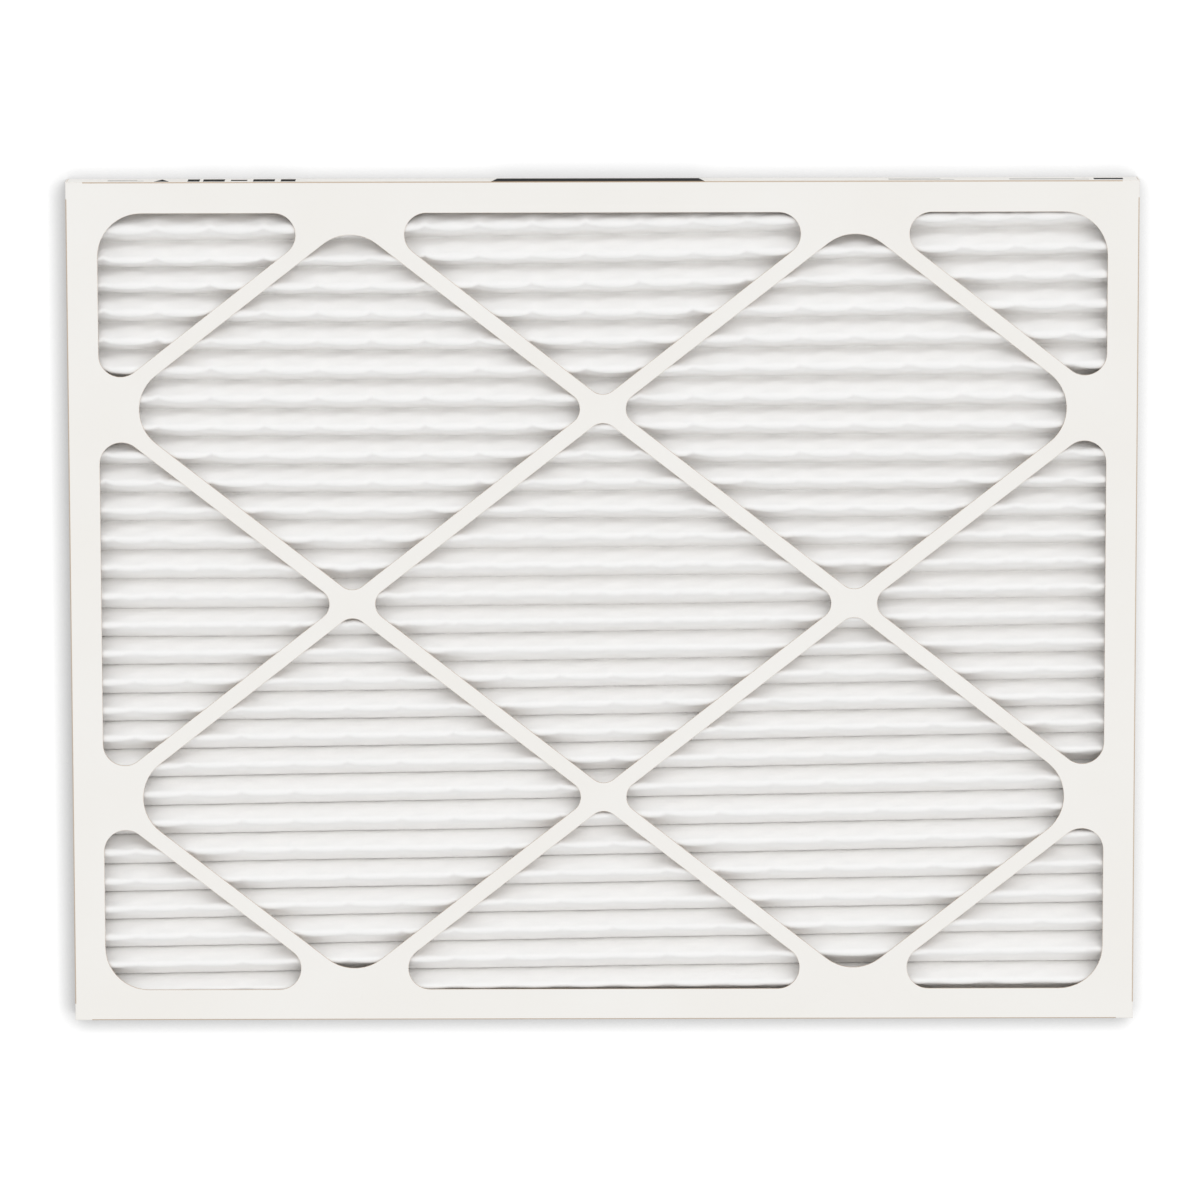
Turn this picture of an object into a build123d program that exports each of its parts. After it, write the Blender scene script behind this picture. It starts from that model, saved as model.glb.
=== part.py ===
"""Pleated panel air filter: a pack of pleated media on an expanded wire backing,
held in a two-piece frame of folded, die-cut paperboard.

The panel lies on its back face.  X runs along the long side, Y across, Z up through the depth.
The origin is the middle of the back face.  All sizes are millimetres.
"""

from build123d import *
from math import acos, atan2, cos, degrees, hypot, pi, sin, tan
import os

# ---------------------------------------------------------------- driving dimensions

# The whole panel
panel_length = 622.3
panel_width = 495.3
panel_depth = 19.05

# The board that both trays are cut and folded from
board_thickness = 0.7
fold_radius = 0.5          # outside radius of a fold
score_depth = 0.55         # how far the cut in each front fold opens
score_margin = 10.0        # the cut stops this far short of a corner
tab_length = 24.0          # glue tabs inside the corners of the front tray

# The lattice of windows, the same in both trays
border_width = 18.2
strap_width = 9.2
cells_along = 2
cells_across = 2
crossing_radius = 9.6      # where four straps meet
tip_radius = 25.4          # where a strap runs into the border beside a diamond window
corner_radius = 25.4       # outer corner of the four corner windows
side_radius = 12.7         # sharp ends of the windows along the border

# The pleated pack
media_thickness = 1.2
pleat_pitch = 16.6
crest_inside_radius = 0.8
valley_inside_radius = 0.2
mesh_thickness = 0.5

# Clearances
glue_gap = 0.1             # between a wall and the glue tab behind it
nest_gap = 0.1             # between the front tray and the back tray inside it
pack_gap = 0.5             # between the pack and the walls round it

# ---------------------------------------------------------------- sizes worked out from them

# Lattice: the straps cross on a grid of half cells, and meet the border on that grid too
opening_length = panel_length - 2 * border_width
opening_width = panel_width - 2 * border_width
half_cell_x = opening_length / (2 * cells_along)
half_cell_y = opening_width / (2 * cells_across)
strap_angle = degrees(atan2(half_cell_y, half_cell_x))
strap_run = 2 * hypot(opening_length, opening_width)
on_edge = 0.001            # a vertex this near to the opening's edge is on it

# Back tray: it nests inside the walls of the front tray, with its face flush with their edges
back_length = panel_length - 2 * (board_thickness + nest_gap)
back_width = panel_width - 2 * (board_thickness + nest_gap)
back_height = panel_depth - board_thickness - nest_gap

# Corner notches in the back tray, which leave room for the glue tabs
tab_outer_x = panel_length / 2 - board_thickness - glue_gap
notch_inner_x = tab_outer_x - board_thickness - nest_gap
notch_inner_y = panel_width / 2 - tab_length - nest_gap

# Pack: it fills the space inside both trays
pack_length = 2 * (min(notch_inner_x + nest_gap, back_length / 2 - board_thickness) - pack_gap)
pack_width = back_width - 2 * (board_thickness + pack_gap)
pleat_count = int(pack_width // pleat_pitch)

# Folds of the pack.  The media's crests are round in front, and flat behind, where the wire is.
# The pack starts and ends as a narrow flange against the front.
pack_top = panel_depth - board_thickness
pack_rise = pack_top - board_thickness - mesh_thickness
crest_radius = crest_inside_radius + media_thickness
valley_radius = valley_inside_radius + media_thickness
flank_rise = pack_rise - crest_radius - valley_radius
flank_angle = acos(
    (crest_inside_radius + valley_radius) / hypot(pleat_pitch / 2, flank_rise)
) - atan2(flank_rise, pleat_pitch / 2)
mitre = tan((pi / 2 - flank_angle) / 2)
crest_half = crest_inside_radius * cos(flank_angle)
crest_height = pack_top - media_thickness - crest_inside_radius * (1 - sin(flank_angle))
valley_height = board_thickness + mesh_thickness


def add_windows():
    """Sketch the windows: the opening, less the straps that cross it, with rounded corners."""
    with BuildSketch() as windows:
        Rectangle(opening_length, opening_width)
        for angle in (strap_angle, -strap_angle):
            with GridLocations(2 * half_cell_x, 0, cells_along + cells_across, 1):
                Rectangle(strap_run, strap_width, rotation=angle, mode=Mode.SUBTRACT)
        corners, sides, tips, crossings = [], [], [], []
        for vertex in windows.vertices():
            from_end = opening_length / 2 - abs(vertex.X)
            from_side = opening_width / 2 - abs(vertex.Y)
            if max(from_end, from_side) < on_edge:
                corners.append(vertex)
            elif min(from_end, from_side) < on_edge:
                sides.append(vertex)
            elif from_end < half_cell_x / 2 or from_side < half_cell_y / 2:
                tips.append(vertex)
            else:
                crossings.append(vertex)
        for places, radius in (
            (corners, corner_radius),
            (sides, side_radius),
            (tips, tip_radius),
            (crossings, crossing_radius),
        ):
            sharp = [
                vertex
                for vertex in windows.vertices()
                if min(place.distance_to(vertex) for place in places) < on_edge
            ]
            fillet(sharp, radius)
    return windows.sketch


def side_points(depth):
    """Give the bends of one side of the wire backing, this deep behind the media's back."""
    points = [(-pack_width / 2, crest_height - depth)]
    for pleat in range(pleat_count):
        middle = (pleat - (pleat_count - 1) / 2) * pleat_pitch
        foot = (valley_radius + depth) * mitre
        top = pleat_pitch / 2 - crest_half + depth * mitre
        points += [
            (middle - top, crest_height - depth),
            (middle - foot, valley_height - depth),
            (middle + foot, valley_height - depth),
            (middle + top, crest_height - depth),
        ]
    return points + [(pack_width / 2, crest_height - depth)]


def media_section():
    """Sketch the section of the media: round crests in front, and the wire's bends behind."""
    turn = 90 - degrees(flank_angle)
    foot = valley_inside_radius * mitre
    floor = valley_height + media_thickness
    with BuildSketch() as section:
        with BuildLine():
            run = Line((-pack_width / 2, pack_top), (-pleat_count * pleat_pitch / 2, pack_top))
            for pleat in range(pleat_count):
                middle = (pleat - (pleat_count - 1) / 2) * pleat_pitch
                fall = JernArc(run @ 1, run % 1, crest_radius, -turn)
                side = pleat_pitch / 2 - crest_radius * cos(flank_angle)
                Polyline(
                    fall @ 1,
                    (middle - foot, floor),
                    (middle + foot, floor),
                    (middle + side, (fall @ 1).Y),
                )
                run = JernArc(
                    (middle + side, (fall @ 1).Y),
                    (sin(flank_angle), cos(flank_angle)),
                    crest_radius,
                    -turn,
                )
            end = Line(run @ 1, (pack_width / 2, pack_top))
            Polyline(end @ 1, *reversed(side_points(0)), (-pack_width / 2, pack_top))
        make_face()
    return section.sketch


def mesh_section():
    """Sketch the section of the wire backing, which lies along the media's back."""
    with BuildSketch() as section:
        with BuildLine():
            Polyline(*side_points(0), *reversed(side_points(mesh_thickness)), close=True)
        make_face()
    return section.sketch


window_sketch = add_windows()

# ---------------------------------------------------------------- front tray

with BuildPart() as front_frame:
    with BuildSketch():
        Rectangle(panel_length, panel_width)
    extrude(amount=panel_depth)
    fillet(front_frame.edges().group_by(Axis.Z)[-1], fold_radius)
    with BuildSketch():
        Rectangle(panel_length - 2 * board_thickness, panel_width - 2 * board_thickness)
    extrude(amount=panel_depth - board_thickness, mode=Mode.SUBTRACT)

    # Windows through the face
    with BuildSketch(Plane.XY.offset(panel_depth - board_thickness)):
        add(window_sketch)
    extrude(amount=board_thickness, mode=Mode.SUBTRACT)

    # The long walls end inside the short ones, and turn the corner as glue tabs
    with BuildSketch():
        with GridLocations(
            panel_length - 2 * board_thickness - glue_gap, panel_width - board_thickness, 2, 2
        ):
            Rectangle(glue_gap, board_thickness)
    extrude(amount=panel_depth - board_thickness, mode=Mode.SUBTRACT)
    with BuildSketch(Plane.XY.offset(board_thickness + nest_gap)):
        with GridLocations(2 * tab_outer_x - board_thickness, panel_width - tab_length, 2, 2):
            Rectangle(board_thickness, tab_length)
    extrude(amount=panel_depth - 2 * (board_thickness + nest_gap))

    # Each front fold is cut part way through the board, and the cut opens as a bevel
    with BuildSketch(Plane.YZ):
        with Locations((panel_width / 2, panel_depth), (-panel_width / 2, panel_depth)):
            RegularPolygon(score_depth, 4)
    extrude(amount=panel_length / 2 - score_margin, both=True, mode=Mode.SUBTRACT)
    with BuildSketch(Plane.XZ):
        with Locations((panel_length / 2, panel_depth), (-panel_length / 2, panel_depth)):
            RegularPolygon(score_depth, 4)
    extrude(amount=panel_width / 2 - score_margin, both=True, mode=Mode.SUBTRACT)

# ---------------------------------------------------------------- back tray

with BuildPart() as back_frame:
    with BuildSketch():
        Rectangle(back_length, back_width)
    extrude(amount=back_height)
    fillet(back_frame.edges().group_by(Axis.Z)[0], fold_radius)
    with BuildSketch(Plane.XY.offset(board_thickness)):
        Rectangle(back_length - 2 * board_thickness, back_width - 2 * board_thickness)
    extrude(amount=back_height, mode=Mode.SUBTRACT)

    # Windows through the face
    with BuildSketch():
        add(window_sketch)
    extrude(amount=board_thickness, mode=Mode.SUBTRACT)

    # The four walls stop short of the corners, where the glue tabs of the front tray are
    with BuildSketch(Plane.XY.offset(board_thickness)):
        with GridLocations(
            notch_inner_x + panel_length / 2, notch_inner_y + panel_width / 2, 2, 2
        ):
            Rectangle(panel_length / 2 - notch_inner_x, panel_width / 2 - notch_inner_y)
    extrude(amount=back_height, mode=Mode.SUBTRACT)

# ---------------------------------------------------------------- pleated pack

with BuildPart() as filter_media:
    with BuildSketch(Plane.YZ):
        add(media_section())
    extrude(amount=pack_length / 2, both=True)

with BuildPart() as wire_mesh:
    with BuildSketch(Plane.YZ):
        add(mesh_section())
    extrude(amount=pack_length / 2, both=True)

# ---------------------------------------------------------------- files

front_frame.part.label = "front_frame"
back_frame.part.label = "back_frame"
filter_media.part.label = "filter_media"
wire_mesh.part.label = "wire_mesh"

os.makedirs("parts", exist_ok=True)
export_step(front_frame.part, "parts/front_frame.step")
export_step(back_frame.part, "parts/back_frame.step")
export_step(filter_media.part, "parts/filter_media.step")
export_step(wire_mesh.part, "parts/wire_mesh.step")
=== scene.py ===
"""Dresses a pleated panel air filter: two trays of coated board, and between them a pack of
folded fibre web on expanded wire.

Lengths are in metres.  The panel lies on its back: X along the pleats, Y across, Z up.
"""

from math import acos, atan2, cos, hypot, pi, radians, sin, tan

import bpy
import numpy as np
from bpy.props import FloatProperty, FloatVectorProperty, PointerProperty
from mathutils import Matrix, Vector


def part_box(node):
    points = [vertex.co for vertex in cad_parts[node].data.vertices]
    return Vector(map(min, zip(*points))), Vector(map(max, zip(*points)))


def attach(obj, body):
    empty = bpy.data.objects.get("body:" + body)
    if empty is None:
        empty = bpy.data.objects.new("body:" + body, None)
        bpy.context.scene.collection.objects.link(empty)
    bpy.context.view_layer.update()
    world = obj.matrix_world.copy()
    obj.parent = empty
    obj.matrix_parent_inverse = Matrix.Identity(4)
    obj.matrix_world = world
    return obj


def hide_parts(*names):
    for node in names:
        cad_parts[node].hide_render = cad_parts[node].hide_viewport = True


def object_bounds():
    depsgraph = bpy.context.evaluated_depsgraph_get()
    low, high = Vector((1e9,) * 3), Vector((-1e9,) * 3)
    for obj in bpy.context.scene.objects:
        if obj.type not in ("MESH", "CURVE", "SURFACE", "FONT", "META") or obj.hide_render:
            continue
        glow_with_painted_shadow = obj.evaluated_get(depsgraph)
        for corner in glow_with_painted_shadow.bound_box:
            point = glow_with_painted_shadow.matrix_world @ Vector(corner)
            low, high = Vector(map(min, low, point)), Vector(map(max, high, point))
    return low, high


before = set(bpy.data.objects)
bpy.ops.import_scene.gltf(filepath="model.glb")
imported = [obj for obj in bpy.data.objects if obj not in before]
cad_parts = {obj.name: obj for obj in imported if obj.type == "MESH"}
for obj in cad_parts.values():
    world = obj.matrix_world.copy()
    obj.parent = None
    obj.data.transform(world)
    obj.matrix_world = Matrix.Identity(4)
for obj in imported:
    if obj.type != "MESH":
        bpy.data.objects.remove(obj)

bl_info = {
    "name": "Pleated Air Filter",
    "version": (1, 0, 0),
    "blender": (4, 5, 0),
    "location": "3D View > Sidebar > Air Filter",
    "description": "Board, fibre web and wire finishes for a pleated panel air filter",
    "category": "Object",
}

# ---------------------------------------------------------------- sizes read from the frame

MM = 0.001
PANEL_LOW, PANEL_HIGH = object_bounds()
HALF_LENGTH = PANEL_HIGH.x
HALF_WIDTH = PANEL_HIGH.y
DEPTH = PANEL_HIGH.z
MEDIA_LOW, MEDIA_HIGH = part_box("filter_media")
MESH_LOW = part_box("wire_mesh")[0]
BOARD = DEPTH - MEDIA_HIGH.z    # thickness of the board
WIRE = MEDIA_LOW.z - MESH_LOW.z    # thickness of the wire


# ---------------------------------------------------------------- settings


class BoardSettings(bpy.types.PropertyGroup):
    """Colours and edges of the board that both trays are folded from."""

    coat: FloatVectorProperty(
        name="Coat", description="White clay coat outside", subtype="COLOR",
        default=(0.862, 0.847, 0.816),
    )
    kraft: FloatVectorProperty(
        name="Kraft", description="Brown board inside and in the cuts", subtype="COLOR",
        default=(0.50, 0.37, 0.25),
    )
    ink: FloatVectorProperty(
        name="Ink", description="Dark print on the upper wall", subtype="COLOR",
        default=(0.006, 0.006, 0.007),
    )
    cut_width: FloatProperty(
        name="Cut width", description="Width of the brown fringe beside a cut", subtype="DISTANCE",
        default=0.4 * MM,
    )
    score_margin: FloatProperty(
        name="Score margin", description="Distance from a corner to the end of a scored fold",
        subtype="DISTANCE", default=10 * MM,
    )


class PackSettings(bpy.types.PropertyGroup):
    """Shape of the pleated web and how unevenly it sits."""

    pitch: FloatProperty(
        name="Pitch", description="From one pleat to the next", subtype="DISTANCE",
        default=16.62 * MM,
    )
    thickness: FloatProperty(
        name="Thickness", description="Thickness of the web", subtype="DISTANCE",
        default=1.2 * MM,
    )
    crest_radius: FloatProperty(
        name="Crest radius", description="Inside radius of a front fold", subtype="DISTANCE",
        default=0.5 * MM,
    )
    valley_radius: FloatProperty(
        name="Valley radius", description="Inside radius of a back fold", subtype="DISTANCE",
        default=0.2 * MM,
    )
    puff: FloatProperty(
        name="Puff", description="How far the web stands off between strands of wire",
        subtype="DISTANCE", default=1.1 * MM,
    )
    skew: FloatProperty(
        name="Skew", description="Angle of the pleats to the long side", subtype="ANGLE",
        default=radians(0.65),
    )
    shift: FloatProperty(
        name="Shift", description="How far the pack sits off the middle", subtype="DISTANCE",
        default=-1.9 * MM,
    )
    wander: FloatProperty(
        name="Wander", description="How far a fold strays from straight", subtype="DISTANCE",
        default=0.18 * MM,
    )
    lean_over: FloatProperty(
        name="Lean over", description="How far the uppermost crests lean down the panel",
        subtype="DISTANCE", default=1.7 * MM,
    )
    pinch: FloatProperty(
        name="Pinch", description="How far the lowest valleys are pressed together",
        subtype="DISTANCE", default=1.3 * MM,
    )
    dent: FloatProperty(
        name="Dent", description="How far a crest is pulled in at a knuckle of the wire",
        subtype="DISTANCE", default=1.1 * MM,
    )
    fibre: FloatVectorProperty(
        name="Fibre", description="Colour of the fibre web", subtype="COLOR",
        default=(0.940, 0.917, 0.897),
    )


class WireSettings(bpy.types.PropertyGroup):
    """The expanded metal behind the web."""

    diamond: FloatProperty(
        name="Diamond", description="Long way of a diamond, along the pleats", subtype="DISTANCE",
        default=31.26 * MM,
    )
    knuckle_at: FloatProperty(
        name="Knuckle at", description="Place of one knuckle along the pleats",
        subtype="DISTANCE", default=6.5 * MM,
    )
    strand: FloatProperty(
        name="Strand", description="Width of a strand", subtype="DISTANCE", default=0.75 * MM,
    )
    metal: FloatVectorProperty(
        name="Metal", description="Colour of the wire", subtype="COLOR",
        default=(0.60, 0.61, 0.62),
    )


class StageSettings(bpy.types.PropertyGroup):
    """Camera and light."""

    distance: FloatProperty(
        name="Distance", description="Camera to the panel's face", subtype="DISTANCE",
        default=4.713,
    )
    tilt: FloatProperty(
        name="Tilt", description="Camera's angle off the face's normal", subtype="ANGLE",
        default=radians(9.03),
    )
    roll: FloatProperty(
        name="Roll", description="Camera's turn about its own axis", subtype="ANGLE",
        default=radians(-0.12),
    )
    view_width: FloatProperty(
        name="View width", description="Width of the frame at the panel's face",
        subtype="DISTANCE", default=0.7005,
    )
    sky: FloatProperty(
        name="Sky", description="Strength of the light from all round", default=0.87,
    )
    key: FloatProperty(
        name="Key", description="Strength of the lamp above the upper right", default=0.15,
    )


# ---------------------------------------------------------------- shader arithmetic


class Socket:
    """One output of a shader node.  Arithmetic on it adds Math nodes."""

    def __init__(self, recipe, link):
        self.recipe = recipe
        self.link = link

    def math(self, operation, *others):
        return self.recipe.node("ShaderNodeMath", {"operation": operation}, [self, *others])

    def __add__(self, other):
        return self.math("ADD", other)

    __radd__ = __add__

    def __mul__(self, other):
        return self.math("MULTIPLY", other)

    __rmul__ = __mul__

    def __sub__(self, other):
        return self.math("SUBTRACT", other)

    def __rsub__(self, other):
        return self.recipe.node("ShaderNodeMath", {"operation": "SUBTRACT"}, [other, self])

    def __truediv__(self, other):
        return self.math("DIVIDE", other)

    def __gt__(self, other):
        return self.math("GREATER_THAN", other)

    def __lt__(self, other):
        return self.math("LESS_THAN", other)

    def __abs__(self):
        return self.math("ABSOLUTE")

    def within(self, low, high):
        """1 between low and high, and 0 outside."""
        return (self > low) * (self < high)


class Recipe:
    """A material, or a world, under construction."""

    def __init__(self, name, kept_in="materials"):
        self.made = getattr(bpy.data, kept_in).new(name)
        self.made.use_nodes = True
        self.tree = self.made.node_tree
        self.tree.nodes.clear()

    def node(self, kind, settings=None, inputs=(), output=0):
        """Add a node: its settings first, then its inputs by name or place.  Give one output."""
        added = self.tree.nodes.new(kind)
        for name, value in (settings or {}).items():
            setattr(added, name, value)
        for name, value in inputs.items() if isinstance(inputs, dict) else enumerate(inputs):
            if isinstance(value, Socket):
                self.tree.links.new(value.link, added.inputs[name])
            else:
                added.inputs[name].default_value = value
        return Socket(self, added.outputs[output]) if added.outputs else None

    def parts(self, vector):
        """The three parts of a vector."""
        return [self.node("ShaderNodeSeparateXYZ", inputs=[vector], output=i) for i in range(3)]

    def place(self):
        """The three coordinates of the shaded point, in the panel's own frame."""
        return self.parts(self.node("ShaderNodeTexCoord", output="Object"))

    def facing(self):
        """The three parts of the flat normal."""
        return self.parts(self.node("ShaderNodeNewGeometry", output="True Normal"))

    def mix(self, factor, first, second):
        """Mix two colours, given as sockets or as red, green and blue."""
        first, second = (c if isinstance(c, Socket) else (*c, 1) for c in (first, second))
        return self.node(
            "ShaderNodeMix", {"data_type": "RGBA"}, {0: factor, 6: first, 7: second}, output=2
        )

    def noise(self, size, stretch=(1, 1, 1), detail=3.0, roughness=0.5, distortion=0.0):
        """Noise with features of about this size in metres, stretched along the axes."""
        point = self.node("ShaderNodeTexCoord", output="Object")
        scaled = self.node(
            "ShaderNodeVectorMath", {"operation": "MULTIPLY"},
            [point, [1 / (size * s) for s in stretch]],
        )
        return self.node(
            "ShaderNodeTexNoise", {},
            {"Vector": scaled, "Scale": 1.0, "Detail": detail, "Roughness": roughness,
             "Distortion": distortion},
        )

    def seen_white(self):
        """1 where the camera sees it, straight, mirrored or through glass, and 0 elsewhere."""
        camera, glossy, through = (
            self.node("ShaderNodeLightPath", output=f"Is {way} Ray")
            for way in ("Camera", "Glossy", "Transmission")
        )
        return (camera + glossy + through) > 0.5

    def bump(self, height, distance, strength=1.0):
        """A normal raised by height, where height 1 stands this far up."""
        return self.node(
            "ShaderNodeBump", {},
            {"Height": height, "Distance": distance, "Strength": strength},
        )

    def finish(self, **inputs):
        """End in a Principled shader with these inputs, and give the material."""
        inputs = {name.replace("_", " "): value for name, value in inputs.items()}
        shader = self.node("ShaderNodeBsdfPrincipled", {}, inputs)
        self.node("ShaderNodeOutputMaterial", {}, [shader])
        return self.made


def shade(colour, shares):
    """A colour with its red, green and blue each times a share."""
    return [part * share for part, share in zip(colour, shares)]


def dress(obj, material):
    """Give every material slot of an object this one material."""
    if not obj.data.materials:
        obj.data.materials.append(material)
    for slot in obj.material_slots:
        slot.material = material


# ---------------------------------------------------------------- board

# The coat at its darkest and lightest, and the brown board, as shares of their colours
COAT_SHARES = (0.975, 0.963, 0.948), (1.022, 1.030, 1.042)
KRAFT_SHARES = (0.86, 0.86, 0.86), (1.12, 1.12, 1.12)
# The upward part of the normal, low and high, on the sloping face of an opened score
SCORE_SLOPE = (0.68, 0.74)
# A bevelled normal that agrees less than this with the flat one is beside a cut
CUT_AGREEMENT = 0.985

# Print on the upper wall.  Lengths along the wall are in millimetres from its middle, and
# heights are shares of the wall's height.  The band narrows by its taper at the foot.
BAND_MIDDLE, BAND_HALF, BAND_TAPER, BAND_FOOT = -2.6, 62, 4, 0.12
ARROW_MIDDLE, ARROW_HALF, ARROW_FOOT, ARROW_TOP = -255.5, 7, 0.2, 0.85
BARS = (
    # left, right, low, high
    (-240.5, -233.5, 0.2, 0.85), (-231.5, -219.0, 0.2, 0.85), (-215.5, -206.0, 0.35, 0.7),
    (-202.5, -190.0, 0.2, 0.85), (-186.5, -178.0, 0.2, 0.85),
    (-287.0, -266.0, 0.62, 0.68), (-287.0, -270.0, 0.42, 0.48),
    (166.0, 204.0, 0.62, 0.68), (166.0, 196.0, 0.42, 0.48),
    (236.0, 282.0, 0.62, 0.68), (236.0, 274.0, 0.42, 0.48), (285.0, 302.0, 0.3, 0.7),
)


def cut_fringe(recipe, width):
    """1 beside a sharp edge, where the blade leaves the coat chipped, and 0 elsewhere."""
    rounded = recipe.node("ShaderNodeBevel", {"samples": 6}, {"Radius": width})
    flat = recipe.node("ShaderNodeNewGeometry", output="True Normal")
    agreement = recipe.node(
        "ShaderNodeVectorMath", {"operation": "DOT_PRODUCT"}, [rounded, flat], output="Value"
    )
    return agreement < CUT_AGREEMENT


def print_mask(x, z):
    """The print on the upper wall: a bare band, an arrow head and plain bars."""
    height = z / DEPTH
    band = abs(x - BAND_MIDDLE * MM) < BAND_HALF * MM - BAND_TAPER * MM * (1 - height)
    marks = band * (height > BAND_FOOT)
    arrow = abs(x - ARROW_MIDDLE * MM) < ARROW_HALF * MM * (height - ARROW_FOOT)
    marks = marks + arrow * height.within(ARROW_FOOT, ARROW_TOP)
    for left, right, low, high in BARS:
        marks = marks + x.within(left * MM, right * MM) * height.within(low, high)
    return marks


def board_material(name, settings, face_up):
    """Clay-coated board: white outside, brown inside and wherever it is cut."""
    recipe = Recipe(name)
    x, y, z = recipe.place()
    across, up = recipe.facing()[1:]
    out = up if face_up else up * -1
    from_end = HALF_LENGTH - abs(x)
    from_side = HALF_WIDTH - abs(y)
    near_outline = (from_end < BOARD / 2) + (from_side < BOARD / 2)
    coated = (out > 0.5) + near_outline * (out > -0.5) > 0.5

    # A scored fold opens as a sloping cut, except near the corners
    corner = (from_end < settings.score_margin) * (from_side < settings.score_margin)
    opened = 0.8 * up.within(*SCORE_SLOPE) * (1 - corner)
    brown = 1 - coated * (1 - opened)

    # The coat, with faint mottle, chipped where it is cut, and the brown board inside
    fine = recipe.noise(1.1 * MM, detail=4.0, roughness=0.6)
    mottle = 0.8 * recipe.noise(70 * MM) + 0.2 * fine
    coat = recipe.mix(mottle, *(shade(settings.coat, shares) for shares in COAT_SHARES))
    chipped = cut_fringe(recipe, settings.cut_width) * (0.4 + 0.5 * recipe.noise(3 * MM))
    coat = recipe.mix(chipped, coat, settings.kraft)
    grain = recipe.noise(0.9 * MM, stretch=(4, 1, 1), detail=4.0)
    inside = recipe.mix(grain, *(shade(settings.kraft, shares) for shares in KRAFT_SHARES))

    dull = 0.25 * brown + 0.08 * fine
    if face_up:
        printed = (across > 0.5) * (from_side < BOARD / 2) * print_mask(x, z) > 0.5
        coat = recipe.mix(printed, coat, settings.ink)
        dull = dull + 0.35 * printed
    return recipe.finish(
        Base_Color=recipe.mix(brown, coat, inside),
        Roughness=0.48 + dull,
        Specular_IOR_Level=0.2,
        Normal=recipe.bump(fine + grain * brown, 0.02 * MM, 0.6),
    )


class FILTER_OT_front_tray(bpy.types.Operator):
    """Finish the front tray as coated board with brown cuts and print on its upper wall"""

    bl_idname = "filter.front_tray"
    bl_label = "Front Tray"

    def execute(self, context):
        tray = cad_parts["front_frame"]
        dress(tray, board_material("front board", context.scene.filter_board, True))
        return {"FINISHED"}


class FILTER_OT_back_tray(bpy.types.Operator):
    """Finish the back tray as coated board, coated side out"""

    bl_idname = "filter.back_tray"
    bl_label = "Back Tray"

    def execute(self, context):
        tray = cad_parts["back_frame"]
        dress(tray, board_material("back board", context.scene.filter_board, False))
        return {"FINISHED"}


# ---------------------------------------------------------------- pleated pack

# How far the valleys stray up the panel from straight, in millimetres.  Each row is for one
# place along the pleats, from the left, and goes down the valleys in STRAY_AT, where 0 is the
# highest that shows.
STRAY_AT = (-1, 0, 2, 4, 6, 8, 10, 13, 16, 19, 22, 25, 27)
STRAYS = (
    (3.2, 0.2, 3.2, 3.1, 1.8, 2.2, 2.4, 0.4, 0.0, -0.1, -2.0, -2.2, -1.0),
    (2.9, -0.1, 0.6, 1.0, 0.1, 0.3, 0.8, -0.7, -0.5, 0.2, -1.1, -1.0, -1.4),
    (3.7, 0.7, -0.3, -0.5, -1.0, -0.6, 0.1, -0.7, 0.0, 0.7, -0.4, -0.5, -1.0),
    (4.0, 1.0, 0.8, -0.2, -1.8, -2.2, -1.2, -1.0, 0.4, 1.7, 0.6, -0.1, -1.4),
    (4.8, 1.8, 1.5, -0.9, -3.4, -3.9, -2.0, -0.7, 1.1, 2.8, 1.6, 0.0, -2.6),
)
STRAY_STEP = 140 * MM    # from one of those places to the next

# Unevenness down the pack: places from its first valley, 0, to its last, 1, and shares there
LEANS = (0, 0.28, 0.5, 0.75, 1), (-1, -0.5, 0.2, 0.12, -0.05)
PINCHES = (0, 0.3, 0.5, 0.75, 1), (-0.5, -0.4, 0.15, 0.7, 1)
DENTS = (0, 0.4, 0.8), (1.1, 0.9, 0.6)
# The same up the unfolded web, from its lower end, 0, to its upper end, 1
SWELLS = (0.1, 0.5, 0.75), (0.65, 0.8, 1.1)
# A pinch's share by height in the pack, and how much less it is at the right end
PINCH_RISE = (0, 0.15, 0.5), (0, 1, 0)
PINCH_FADE = 0.2
PINCH_MOST = 0.8    # a pinched point moves at most this share of the way to the valley's middle
HELD_PLEATS = 1.4    # pleats at the borders over which the pack comes back to straight
# The web puffs out this far from the middle of a valley, and fully this much further on
PUFF_FROM, PUFF_RUN = 1 * MM, 5 * MM
PUFF_LEAST = 0.1    # its share of the puff before that
PUFF_BULGE = 0.65    # the power that rounds a puff, below 1 for a fuller one

# The wire: rows of diamonds to a pleat, and how many rows it lags at some pleats from below
ROWS_PER_PLEAT = 3
LAGS = (0, 3, 12, 19), (0.1, 0.0, 0.0, 0.5)
KNUCKLE = 0.075    # half of a knuckle's length, as a share of half a diamond
DENT_SHARPNESS = 30    # the power that narrows a dent to its knuckle

# The fibre web and the wire at their darkest and lightest, as shares of their colours. The web's
# lighter, warmer end also carries the painted light in its valleys.
FIBRE_SHARES = (0.90, 0.926, 0.949), (1.053, 1.062, 1.062)
METAL_SHARES = (0.8, 0.8, 0.8), (1.15, 1.15, 1.15)

# Fineness of the surfaces
TICKS_PER_PLEAT = 40    # places where the wire's lag is worked out
COLUMNS_PER_DIAMOND = 8
BACK_STEP = 18    # columns of the front surface to one of the back
CREST_ROWS, FLANK_ROWS = 3, 6    # rows of points on half a crest, and on a flank
STRAND_STEP = 0.25 * MM    # places along a strand where a point may go
VALLEY_REACH = 0.8 * MM    # from the middle of a valley to where its bend ends
WIRE_HALF = 0.45    # half of a strand's thickness, as a share of the space for the wire

# Random unevenness
SEED = 20
WAVES = 4    # waves that a fold strays in
WAVE_SPAN = 0.31    # half of the longest wave
PULLS = 64    # knuckles each way before their pulls repeat


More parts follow.
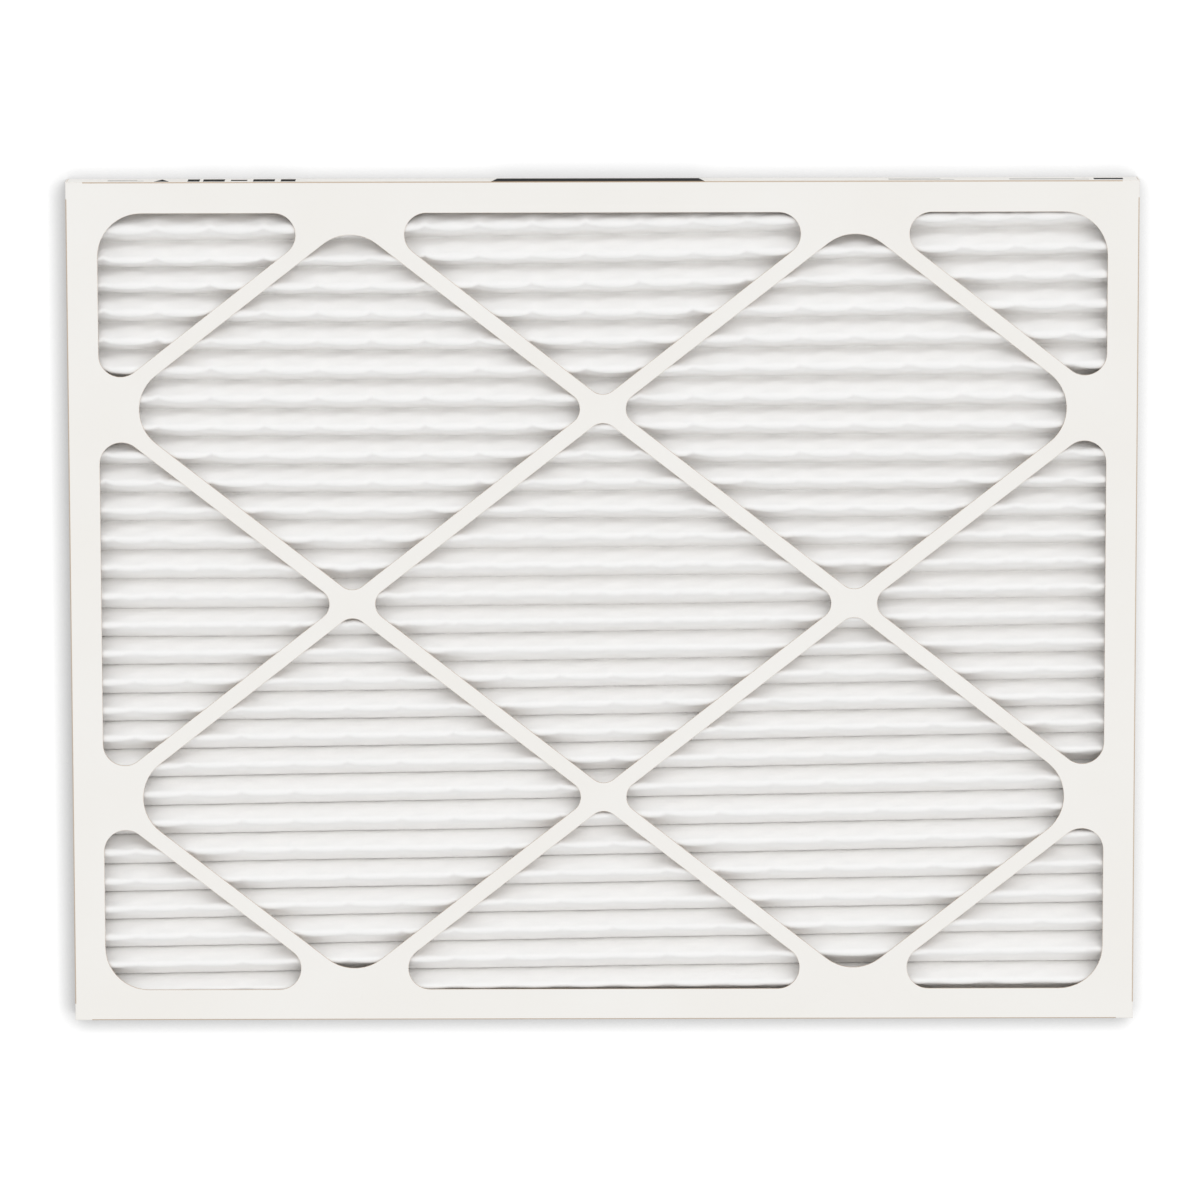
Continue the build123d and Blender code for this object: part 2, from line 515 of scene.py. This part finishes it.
class Pleats:
    """The folded line that web and wire follow, and how the pack has settled in its frame."""

    def __init__(self, pack, wire):
        self.pitch = pack.pitch
        self.skew = tan(pack.skew)
        self.shift = pack.shift
        self.wander = pack.wander
        self.lean_over = pack.lean_over
        self.pinch = pack.pinch
        self.dent = pack.dent
        self.thickness = pack.thickness

        # The folds: arcs round the middle of the web's thickness, with straight flanks between
        self.crest = pack.crest_radius + pack.thickness / 2
        self.valley = pack.valley_radius + pack.thickness / 2
        self.top = MEDIA_HIGH.z - pack.thickness / 2 - pack.puff
        self.bottom = MEDIA_LOW.z + pack.thickness / 2
        self.half_length = MEDIA_HIGH.x
        self.half_width = MEDIA_HIGH.y
        self.count = int(2 * self.half_width // self.pitch)
        rise = self.top - self.bottom
        radii = self.crest + self.valley
        self.lean = acos(radii / hypot(self.pitch / 2, rise - radii)) - atan2(
            rise - radii, self.pitch / 2
        )
        self.flank = (rise - radii * (1 - sin(self.lean))) / cos(self.lean)
        self.turn = pi / 2 - self.lean
        self.length = 2 * (self.flank + radii * self.turn)
        self.flange = self.half_width - self.count * self.pitch / 2

        # The wire: how many diamonds lie below each tick of the unfolded web
        self.diamond = wire.diamond
        self.knuckle_at = wire.knuckle_at
        self.tick = np.linspace(0, self.count * self.length, TICKS_PER_PLEAT * self.count + 1)
        pleat = self.tick / self.length
        self.cells = ROWS_PER_PLEAT * pleat - np.interp(pleat, *LAGS)

        random = np.random.default_rng(SEED)
        folds = 2 * self.count + 4
        self.phases = random.uniform(0, 2 * pi, (folds, WAVES))
        self.weights = random.normal(0, 1, (folds, WAVES))
        self.pulls = random.uniform(0.4, 1.6, (PULLS, PULLS))

    def line(self, distance, offset):
        """Place points this far along the unfolded line and this far in front of it."""
        total = self.count * self.length
        inside = np.clip(distance, 0, total)
        pleat = np.minimum(inside // self.length, self.count - 1)
        along = inside - (pleat + 0.5) * self.length
        side = np.sign(along)
        reach = np.abs(along)
        valley_arc = self.valley * self.turn
        bend = np.minimum(reach, valley_arc) / self.valley
        run = np.clip(reach - valley_arc, 0, self.flank)
        over = np.clip(self.length / 2 - reach, 0, self.crest * self.turn) / self.crest
        on_crest = reach > valley_arc + self.flank
        y = self.valley * np.sin(bend) + run * sin(self.lean)
        y = np.where(on_crest, self.pitch / 2 - self.crest * np.sin(over), y)
        z = self.bottom + self.valley * (1 - np.cos(bend)) + run * cos(self.lean)
        z = np.where(on_crest, self.top - self.crest * (1 - np.cos(over)), z)
        tilt = np.where(on_crest, over, bend)
        middle = (pleat + 0.5 - self.count / 2) * self.pitch
        y = middle + side * (y - np.sin(tilt) * offset) + (distance - inside)
        z = z + np.cos(tilt) * offset
        return y, z

    def settle(self, x, y, z):
        """Move points as the pack has settled: askew, off the middle and not quite straight."""
        height = np.clip((z - self.bottom) / (self.top - self.bottom), 0, 1.1)
        edge = np.clip((self.half_width - np.abs(y)) / (HELD_PLEATS * self.pitch), 0, 1)
        free = edge * edge * (3 - 2 * edge)
        fold = y / (self.pitch / 2) + self.count + 1
        before = np.clip(fold.astype(int), 0, 2 * self.count + 1)
        part = fold - before
        stray = (1 - part) * self.stray(before, x) + part * self.stray(before + 1, x)
        valley = (self.count - 1) / 2 - y / self.pitch
        down = valley / (self.count - 1)
        pull = self.knuckle_pull(x, y) * np.interp(down, *DENTS)
        lean = height**2 * (self.lean_over * np.interp(down, *LEANS) + self.dent * pull)
        squeeze = self.squeeze(x, (np.rint(valley) - valley) * self.pitch, down)
        squeeze = squeeze * np.interp(height, *PINCH_RISE)
        return x, y + free * (self.shift + self.skew * x + stray + lean - squeeze), z

    def stray(self, fold, x):
        """How far a fold strays from straight at each x."""
        total = np.zeros_like(x)
        for k in range(WAVES):
            wave = np.cos((k + 1) * x * pi / WAVE_SPAN + self.phases[fold, k])
            total += self.weights[fold, k] * wave / (k + 1)
        valley = self.count - 1 - fold / 2
        last = len(STRAYS) - 1
        place = np.clip(x / STRAY_STEP + last / 2, 0, last)
        uneven = sum(
            np.clip(1 - np.abs(place - column), 0, 1) * np.interp(valley, STRAY_AT, strays)
            for column, strays in enumerate(STRAYS)
        )
        return self.wander * total + uneven * MM

    def knuckle_pull(self, x, y):
        """How strongly the wire's knuckles pull at the crest nearest to each y."""
        crest = np.rint(y / self.pitch + self.count / 2)
        across = np.interp(crest * self.length, self.tick, self.cells)
        along = (x - self.knuckle_at) / self.diamond
        pull = sum(
            np.abs(np.cos(pi * (along + way * across))) ** DENT_SHARPNESS * 0.5 for way in (1, -1)
        )
        row, column = crest.astype(int), np.rint(2 * along).astype(int)
        return pull * self.pulls[row % PULLS, column % PULLS]

    def squeeze(self, x, from_valley, down):
        """How far the two sides of a valley are pressed together, this far from its middle."""
        reach = self.pinch * np.interp(down, *PINCHES)
        reach = reach - PINCH_FADE * self.pinch * x / self.half_length
        return np.minimum(reach, PINCH_MOST * np.abs(from_valley)) * np.sign(from_valley)

    def puff(self, x, distance):
        """How far the web stands off the wire: 0 on a strand, about 1 in mid-diamond."""
        along = (x - self.knuckle_at) / self.diamond
        across = np.interp(distance, self.tick, self.cells)
        pillow = np.abs(np.sin(pi * (along + across)) * np.sin(pi * (along - across)))
        places, swells = SWELLS
        swell = np.interp(distance, self.tick[-1] * np.array(places), swells)
        from_valley = np.abs((distance / self.length) % 1 - 0.5) * self.length
        rise = np.clip((from_valley - PUFF_FROM) / PUFF_RUN, PUFF_LEAST, 1)
        return pillow**PUFF_BULGE * swell * rise


def grid_mesh(name, points, faces, smooth):
    """Make a mesh object from arrays of points and faces."""
    mesh = bpy.data.meshes.new(name)
    mesh.from_pydata(points.tolist(), [], faces)
    mesh.polygons.foreach_set("use_smooth", smooth)
    mesh.validate()
    mesh.update()
    obj = bpy.data.objects.new(name, mesh)
    bpy.context.scene.collection.objects.link(obj)
    return obj


def quads(first, rows, columns):
    """Faces of a grid of points, whose numbers start at first."""
    r, c = np.meshgrid(np.arange(rows - 1), np.arange(columns - 1), indexing="ij")
    a = first + r * columns + c
    return np.stack([a, a + 1, a + columns + 1, a + columns], -1).reshape(-1, 4)


def web_rows(pleats):
    """Distances along the unfolded web at which it has a row of points."""
    crest_arc = pleats.crest * pleats.turn
    half = np.concatenate([
        np.linspace(0, crest_arc, CREST_ROWS + 1)[:-1],
        crest_arc + np.linspace(0, pleats.flank, FLANK_ROWS + 1)[:-1],
        [crest_arc + pleats.flank],
    ])
    one = np.concatenate([half, [pleats.length / 2], (pleats.length - half[1:])[::-1]])
    rows = [one + k * pleats.length for k in range(pleats.count)]
    total = pleats.count * pleats.length
    return np.concatenate([[-pleats.flange], *rows, [total, total + pleats.flange]])


def web_columns(pleats):
    """Places along the pleats at which the web has a column of points."""
    count = int(COLUMNS_PER_DIAMOND * 2 * pleats.half_length / pleats.diamond) + 2
    return np.linspace(-pleats.half_length, pleats.half_length, count)


def web_mesh(pleats, pack):
    """The web: a fine front surface, a plainer back against the wire, and cut edges."""
    distance = web_rows(pleats)
    x = web_columns(pleats)
    back = np.unique(np.append(np.arange(0, len(x), BACK_STEP), len(x) - 1))

    def surface(columns, offset, puffed):
        s, across = np.meshgrid(distance, columns, indexing="ij")
        lift = puffed * pleats.puff(across, s) * pack.puff
        y, z = pleats.line(s, offset + lift)
        return np.stack(pleats.settle(across, y, z), -1).reshape(-1, 3)

    front_points = surface(x, pack.thickness / 2, 1)
    back_points = surface(x[back], -pack.thickness / 2, 0)
    rows, columns, fewer = len(distance), len(x), len(back)
    base = rows * columns
    faces = [*quads(0, rows, columns).tolist(), *quads(base, rows, fewer)[:, ::-1].tolist()]
    smooth = [True] * len(faces)

    # The cut edges: at the ends of the pleats, then along the first and the last row
    for row in range(rows - 1):
        low, high = row * columns, (row + 1) * columns
        under, over = base + row * fewer, base + (row + 1) * fewer
        faces.append([low, high, over, under])
        faces.append([high + columns - 1, low + columns - 1, under + fewer - 1, over + fewer - 1])
    last, last_back = (rows - 1) * columns, base + (rows - 1) * fewer
    for cell in range(fewer - 1):
        run = range(back[cell], back[cell + 1] + 1)
        faces.append([*reversed(run), base + cell, base + cell + 1])
        faces.append([*(last + k for k in run), last_back + cell + 1, last_back + cell])
    smooth += [False] * (len(faces) - len(smooth))
    return grid_mesh("pleated_web", np.concatenate([front_points, back_points]), faces, smooth)


def web_material(pack, pleats):
    """White fibre web: long tangled fibres, thin and thick patches, and painted light that makes
    it lighter and warmer towards the valleys.
    """
    recipe = Recipe("fibre web")
    cloud = recipe.noise(9 * MM, stretch=(1.6, 1, 1), detail=5.0, roughness=0.6)
    fibres = recipe.noise(0.8 * MM, stretch=(7, 1, 1), detail=5.0, roughness=0.65, distortion=1.2)
    tangle = recipe.noise(0.7 * MM, stretch=(1, 3, 3), detail=4.0, roughness=0.6, distortion=1.5)
    height = recipe.place()[2]
    # Painted light: the web is coloured lighter and warmer the deeper it lies, filling in the
    # shade towards the bottom of each valley.
    painted_valley_light = 1 - (height - pleats.bottom) / (pleats.top - pleats.bottom)
    light = 0.35 * cloud + 0.25 * fibres + 0.2 * tangle + 0.36 * painted_valley_light
    return recipe.finish(
        Base_Color=recipe.mix(light, *(shade(pack.fibre, shares) for shares in FIBRE_SHARES)),
        Roughness=0.92,
        Specular_IOR_Level=0.15,
        Normal=recipe.bump(0.6 * fibres + 0.5 * tangle + 1.2 * cloud, 0.22 * MM, 0.7),
    )


class FILTER_OT_web(bpy.types.Operator):
    """Fold the fibre web into its pleats, puffed out between the strands of wire"""

    bl_idname = "filter.web"
    bl_label = "Fibre Web"

    def execute(self, context):
        pack, wire = context.scene.filter_pack, context.scene.filter_wire
        pleats = Pleats(pack, wire)
        web = web_mesh(pleats, pack)
        dress(web, web_material(pack, pleats))
        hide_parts("filter_media")
        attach(web, "root")
        unfolded = pleats.count * pleats.length + 2 * pleats.flange
        return {"FINISHED"}


class FILTER_OT_wire(bpy.types.Operator):
    """Lay the expanded wire behind the web, strand by strand"""

    bl_idname = "filter.wire"
    bl_label = "Expanded Wire"

    def execute(self, context):
        pack, wire = context.scene.filter_pack, context.scene.filter_wire
        pleats = Pleats(pack, wire)
        backing = wire_strands(pleats, wire)
        dress(backing, wire_material(wire))
        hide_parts("wire_mesh")
        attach(backing, "root")
        return {"FINISHED"}


def wire_strands(pleats, wire):
    """One zigzag strand for each half diamond, each meeting its neighbours at the knuckles."""
    strands = range(int(2 * pleats.cells[0]) - 1, int(2 * pleats.cells[-1]) + 1)
    reach = pleats.half_length - 0.3 * MM
    fine = np.arange(-reach, reach, STRAND_STEP)

    # A strand bends at both ends of each knuckle, and has a point half-way between knuckles
    steps = (fine - pleats.knuckle_at) / (pleats.diamond / 2)
    turns = np.floor(steps[:, None] - (KNUCKLE, 0.5, 1 - KNUCKLE))
    bends = (np.diff(turns, axis=0, prepend=turns[:1]) > 0).any(1)
    bends[[0, -1]] = True
    swing = np.clip((np.abs(steps % 2 - 1) - KNUCKLE) / (1 - 2 * KNUCKLE), 0, 1)

    # It has more points where it goes over a crest, and into and out of a valley
    crests = np.arange(pleats.count + 1) * pleats.length
    valleys = crests[:-1] + pleats.length / 2
    folds = np.sort(np.concatenate([crests, valleys - VALLEY_REACH, valleys + VALLEY_REACH]))

    middle = -pleats.thickness / 2 - WIRE / 2
    points, faces, base = [], [], 0
    for strand in strands:
        way = swing if strand % 2 else 1 - swing
        centre = np.interp((strand + way) / 2, pleats.cells, pleats.tick)
        part = np.searchsorted(folds, centre)
        keep = bends | (np.diff(part, prepend=part[0]) != 0)
        x, centre = fine[keep], centre[keep]
        ring = []
        for beside, behind in ((-1, -1), (1, -1), (1, 1), (-1, 1)):
            edge = np.clip(centre + beside * wire.strand / 2, 0, pleats.count * pleats.length)
            y, z = pleats.line(edge, middle + behind * WIRE_HALF * WIRE)
            ring.append(np.stack(pleats.settle(x, y, z), -1))
        points.append(np.stack(ring, 1).reshape(-1, 3))
        n = np.arange(len(x) - 1)[:, None] * 4 + base
        for k in range(4):
            m = (k + 1) % 4
            faces += np.concatenate([n + k, n + m, n + 4 + m, n + 4 + k], 1).tolist()
        end = base + 4 * (len(x) - 1)
        faces += [[base + 3, base + 2, base + 1, base], [end, end + 1, end + 2, end + 3]]
        base += 4 * len(x)
    return grid_mesh("expanded_wire", np.concatenate(points), faces, [False] * len(faces))


def wire_material(wire):
    """Bright slit metal, a little dulled and streaked."""
    recipe = Recipe("backing wire")
    streak = recipe.noise(1.5 * MM, stretch=(6, 1, 1))
    dull = recipe.noise(22 * MM)
    light = 0.6 * streak + 0.4 * dull
    return recipe.finish(
        Base_Color=recipe.mix(light, *(shade(wire.metal, shares) for shares in METAL_SHARES)),
        Metallic=0.9,
        Roughness=0.3 + 0.25 * dull,
        Normal=recipe.bump(streak, 0.03 * MM, 0.5),
    )


# ---------------------------------------------------------------- stage

GROUND_SIZE = 4.0    # half of the ground's side
GROUND_DROP = 0.05 * MM    # from the panel's lowest point down to the ground
SHADOW_REACH = 14 * MM    # how far from the panel its painted shadow reaches
SHADOW_TOWARDS = (0.3, 0.35, 1.0)    # what the ground is taken to face for its painted shadow, so that the shadow leans
KEY_FROM = (0.45, 0.75, 1.0)    # where the lamp is
KEY_SPREAD = radians(50)
AIM = (-1.9 * MM, 2.2 * MM, DEPTH)    # the point that the camera looks at
FAR = 50    # the furthest that the camera sees


def grey(level):
    """Red, green and blue of a neutral colour."""
    return (level, level, level)


def ground_material():
    """White ground that shows white to the camera, takes the lamp's real shadow, and has a painted
    shadow round the panel.
    """
    recipe = Recipe("pale ground")
    lit = recipe.node("ShaderNodeBsdfDiffuse", {}, {"Color": (*grey(0.8), 1)})
    towards = recipe.node("ShaderNodeCombineXYZ", {}, SHADOW_TOWARDS)
    # Painted shadow: how open the sky is round each point, taken about a leaning normal, darkens
    # the colour and the glow that the camera sees.
    open_sky = recipe.node(
        "ShaderNodeAmbientOcclusion", {"samples": 8},
        {"Distance": SHADOW_REACH, "Normal": towards}, "AO",
    )
    white = recipe.mix(open_sky, grey(0), grey(0.3))
    bright = recipe.node("ShaderNodeBsdfDiffuse", {}, {"Color": white})
    glow_with_painted_shadow = recipe.mix(open_sky, grey(0.1), grey(0.8))
    glow = recipe.node("ShaderNodeEmission", {}, {"Color": glow_with_painted_shadow})
    both = recipe.node("ShaderNodeAddShader", {}, [bright, glow])
    shader = recipe.node("ShaderNodeMixShader", {}, [recipe.seen_white(), lit, both])
    recipe.node("ShaderNodeOutputMaterial", {}, [shader])
    return recipe.made


class FILTER_OT_stage(bpy.types.Operator):
    """Set the pale ground, the light and the camera"""

    bl_idname = "filter.stage"
    bl_label = "Stage"

    def execute(self, context):
        stage = context.scene.filter_stage
        context.scene.view_settings.view_transform = "Standard"
        self.ground()
        self.light(stage)
        self.camera(stage)
        return {"FINISHED"}

    def ground(self):
        """Lay the ground just under the panel."""
        mesh = bpy.data.meshes.new("ground")
        corners = [
            (x * GROUND_SIZE, y * GROUND_SIZE, PANEL_LOW.z - GROUND_DROP)
            for x, y in ((-1, -1), (1, -1), (1, 1), (-1, 1))
        ]
        mesh.from_pydata(corners, [], [(0, 1, 2, 3)])
        ground = bpy.data.objects.new("ground", mesh)
        bpy.context.scene.collection.objects.link(ground)
        dress(ground, ground_material())

    def light(self, stage):
        """Light the panel from all round, and a little more from the upper right."""
        recipe = Recipe("soft sky", "worlds")
        white = recipe.seen_white()
        sky = recipe.node(
            "ShaderNodeBackground", {},
            {"Color": (1, 1, 1, 1), "Strength": white + (1 - white) * stage.sky},
        )
        recipe.node("ShaderNodeOutputWorld", {}, [sky])
        bpy.context.scene.world = recipe.made

        lamp = bpy.data.lights.new("key", "SUN")
        lamp.angle = KEY_SPREAD
        towards = Vector(KEY_FROM).normalized()
        lamp.energy = stage.key * pi / towards.z
        key = bpy.data.objects.new("key", lamp)
        key.rotation_mode = "QUATERNION"
        key.rotation_quaternion = towards.to_track_quat("Z", "Y")
        bpy.context.scene.collection.objects.link(key)

    def camera(self, stage):
        """Look at the panel's face, nearly straight on."""
        back = Vector((0, sin(stage.tilt), cos(stage.tilt)))
        right = Vector((1, 0, 0))
        up = back.cross(right)
        turned_right = right * cos(stage.roll) + up * sin(stage.roll)
        turned_up = up * cos(stage.roll) - right * sin(stage.roll)
        camera = bpy.data.objects.new("camera", bpy.data.cameras.new("camera"))
        rotation = Matrix((turned_right, turned_up, back)).transposed().to_4x4()
        camera.matrix_world = Matrix.Translation(Vector(AIM) + back * stage.distance) @ rotation
        camera.data.lens = camera.data.sensor_width * stage.distance / stage.view_width
        camera.data.clip_end = FAR
        bpy.context.scene.collection.objects.link(camera)
        bpy.context.scene.camera = camera


# ---------------------------------------------------------------- panel and registration


class FILTER_PT_panel(bpy.types.Panel):
    """Lists the steps that dress the filter"""

    bl_idname = "FILTER_PT_panel"
    bl_label = "Air Filter"
    bl_space_type = "VIEW_3D"
    bl_region_type = "UI"
    bl_category = "Air Filter"

    def draw(self, context):
        for operator in OPERATORS:
            self.layout.operator(operator.bl_idname)
        for name in SETTINGS:
            box = self.layout.box()
            group = getattr(context.scene, name)
            for key in group.__annotations__:
                box.prop(group, key)


OPERATORS = (
    FILTER_OT_front_tray, FILTER_OT_back_tray, FILTER_OT_web, FILTER_OT_wire, FILTER_OT_stage,
)
SETTINGS = {
    "filter_board": BoardSettings,
    "filter_pack": PackSettings,
    "filter_wire": WireSettings,
    "filter_stage": StageSettings,
}


def register():
    for group in SETTINGS.values():
        bpy.utils.register_class(group)
    for name, group in SETTINGS.items():
        setattr(bpy.types.Scene, name, PointerProperty(type=group))
    for operator in OPERATORS:
        bpy.utils.register_class(operator)
    bpy.utils.register_class(FILTER_PT_panel)


def unregister():
    bpy.utils.unregister_class(FILTER_PT_panel)
    for operator in reversed(OPERATORS):
        bpy.utils.unregister_class(operator)
    for name in SETTINGS:
        delattr(bpy.types.Scene, name)
    for group in SETTINGS.values():
        bpy.utils.unregister_class(group)


def main():
    register()
    bpy.ops.filter.front_tray()
    bpy.ops.filter.back_tray()
    bpy.ops.filter.web()
    bpy.ops.filter.wire()
    bpy.ops.filter.stage()


if __name__ == "__main__":
    main()
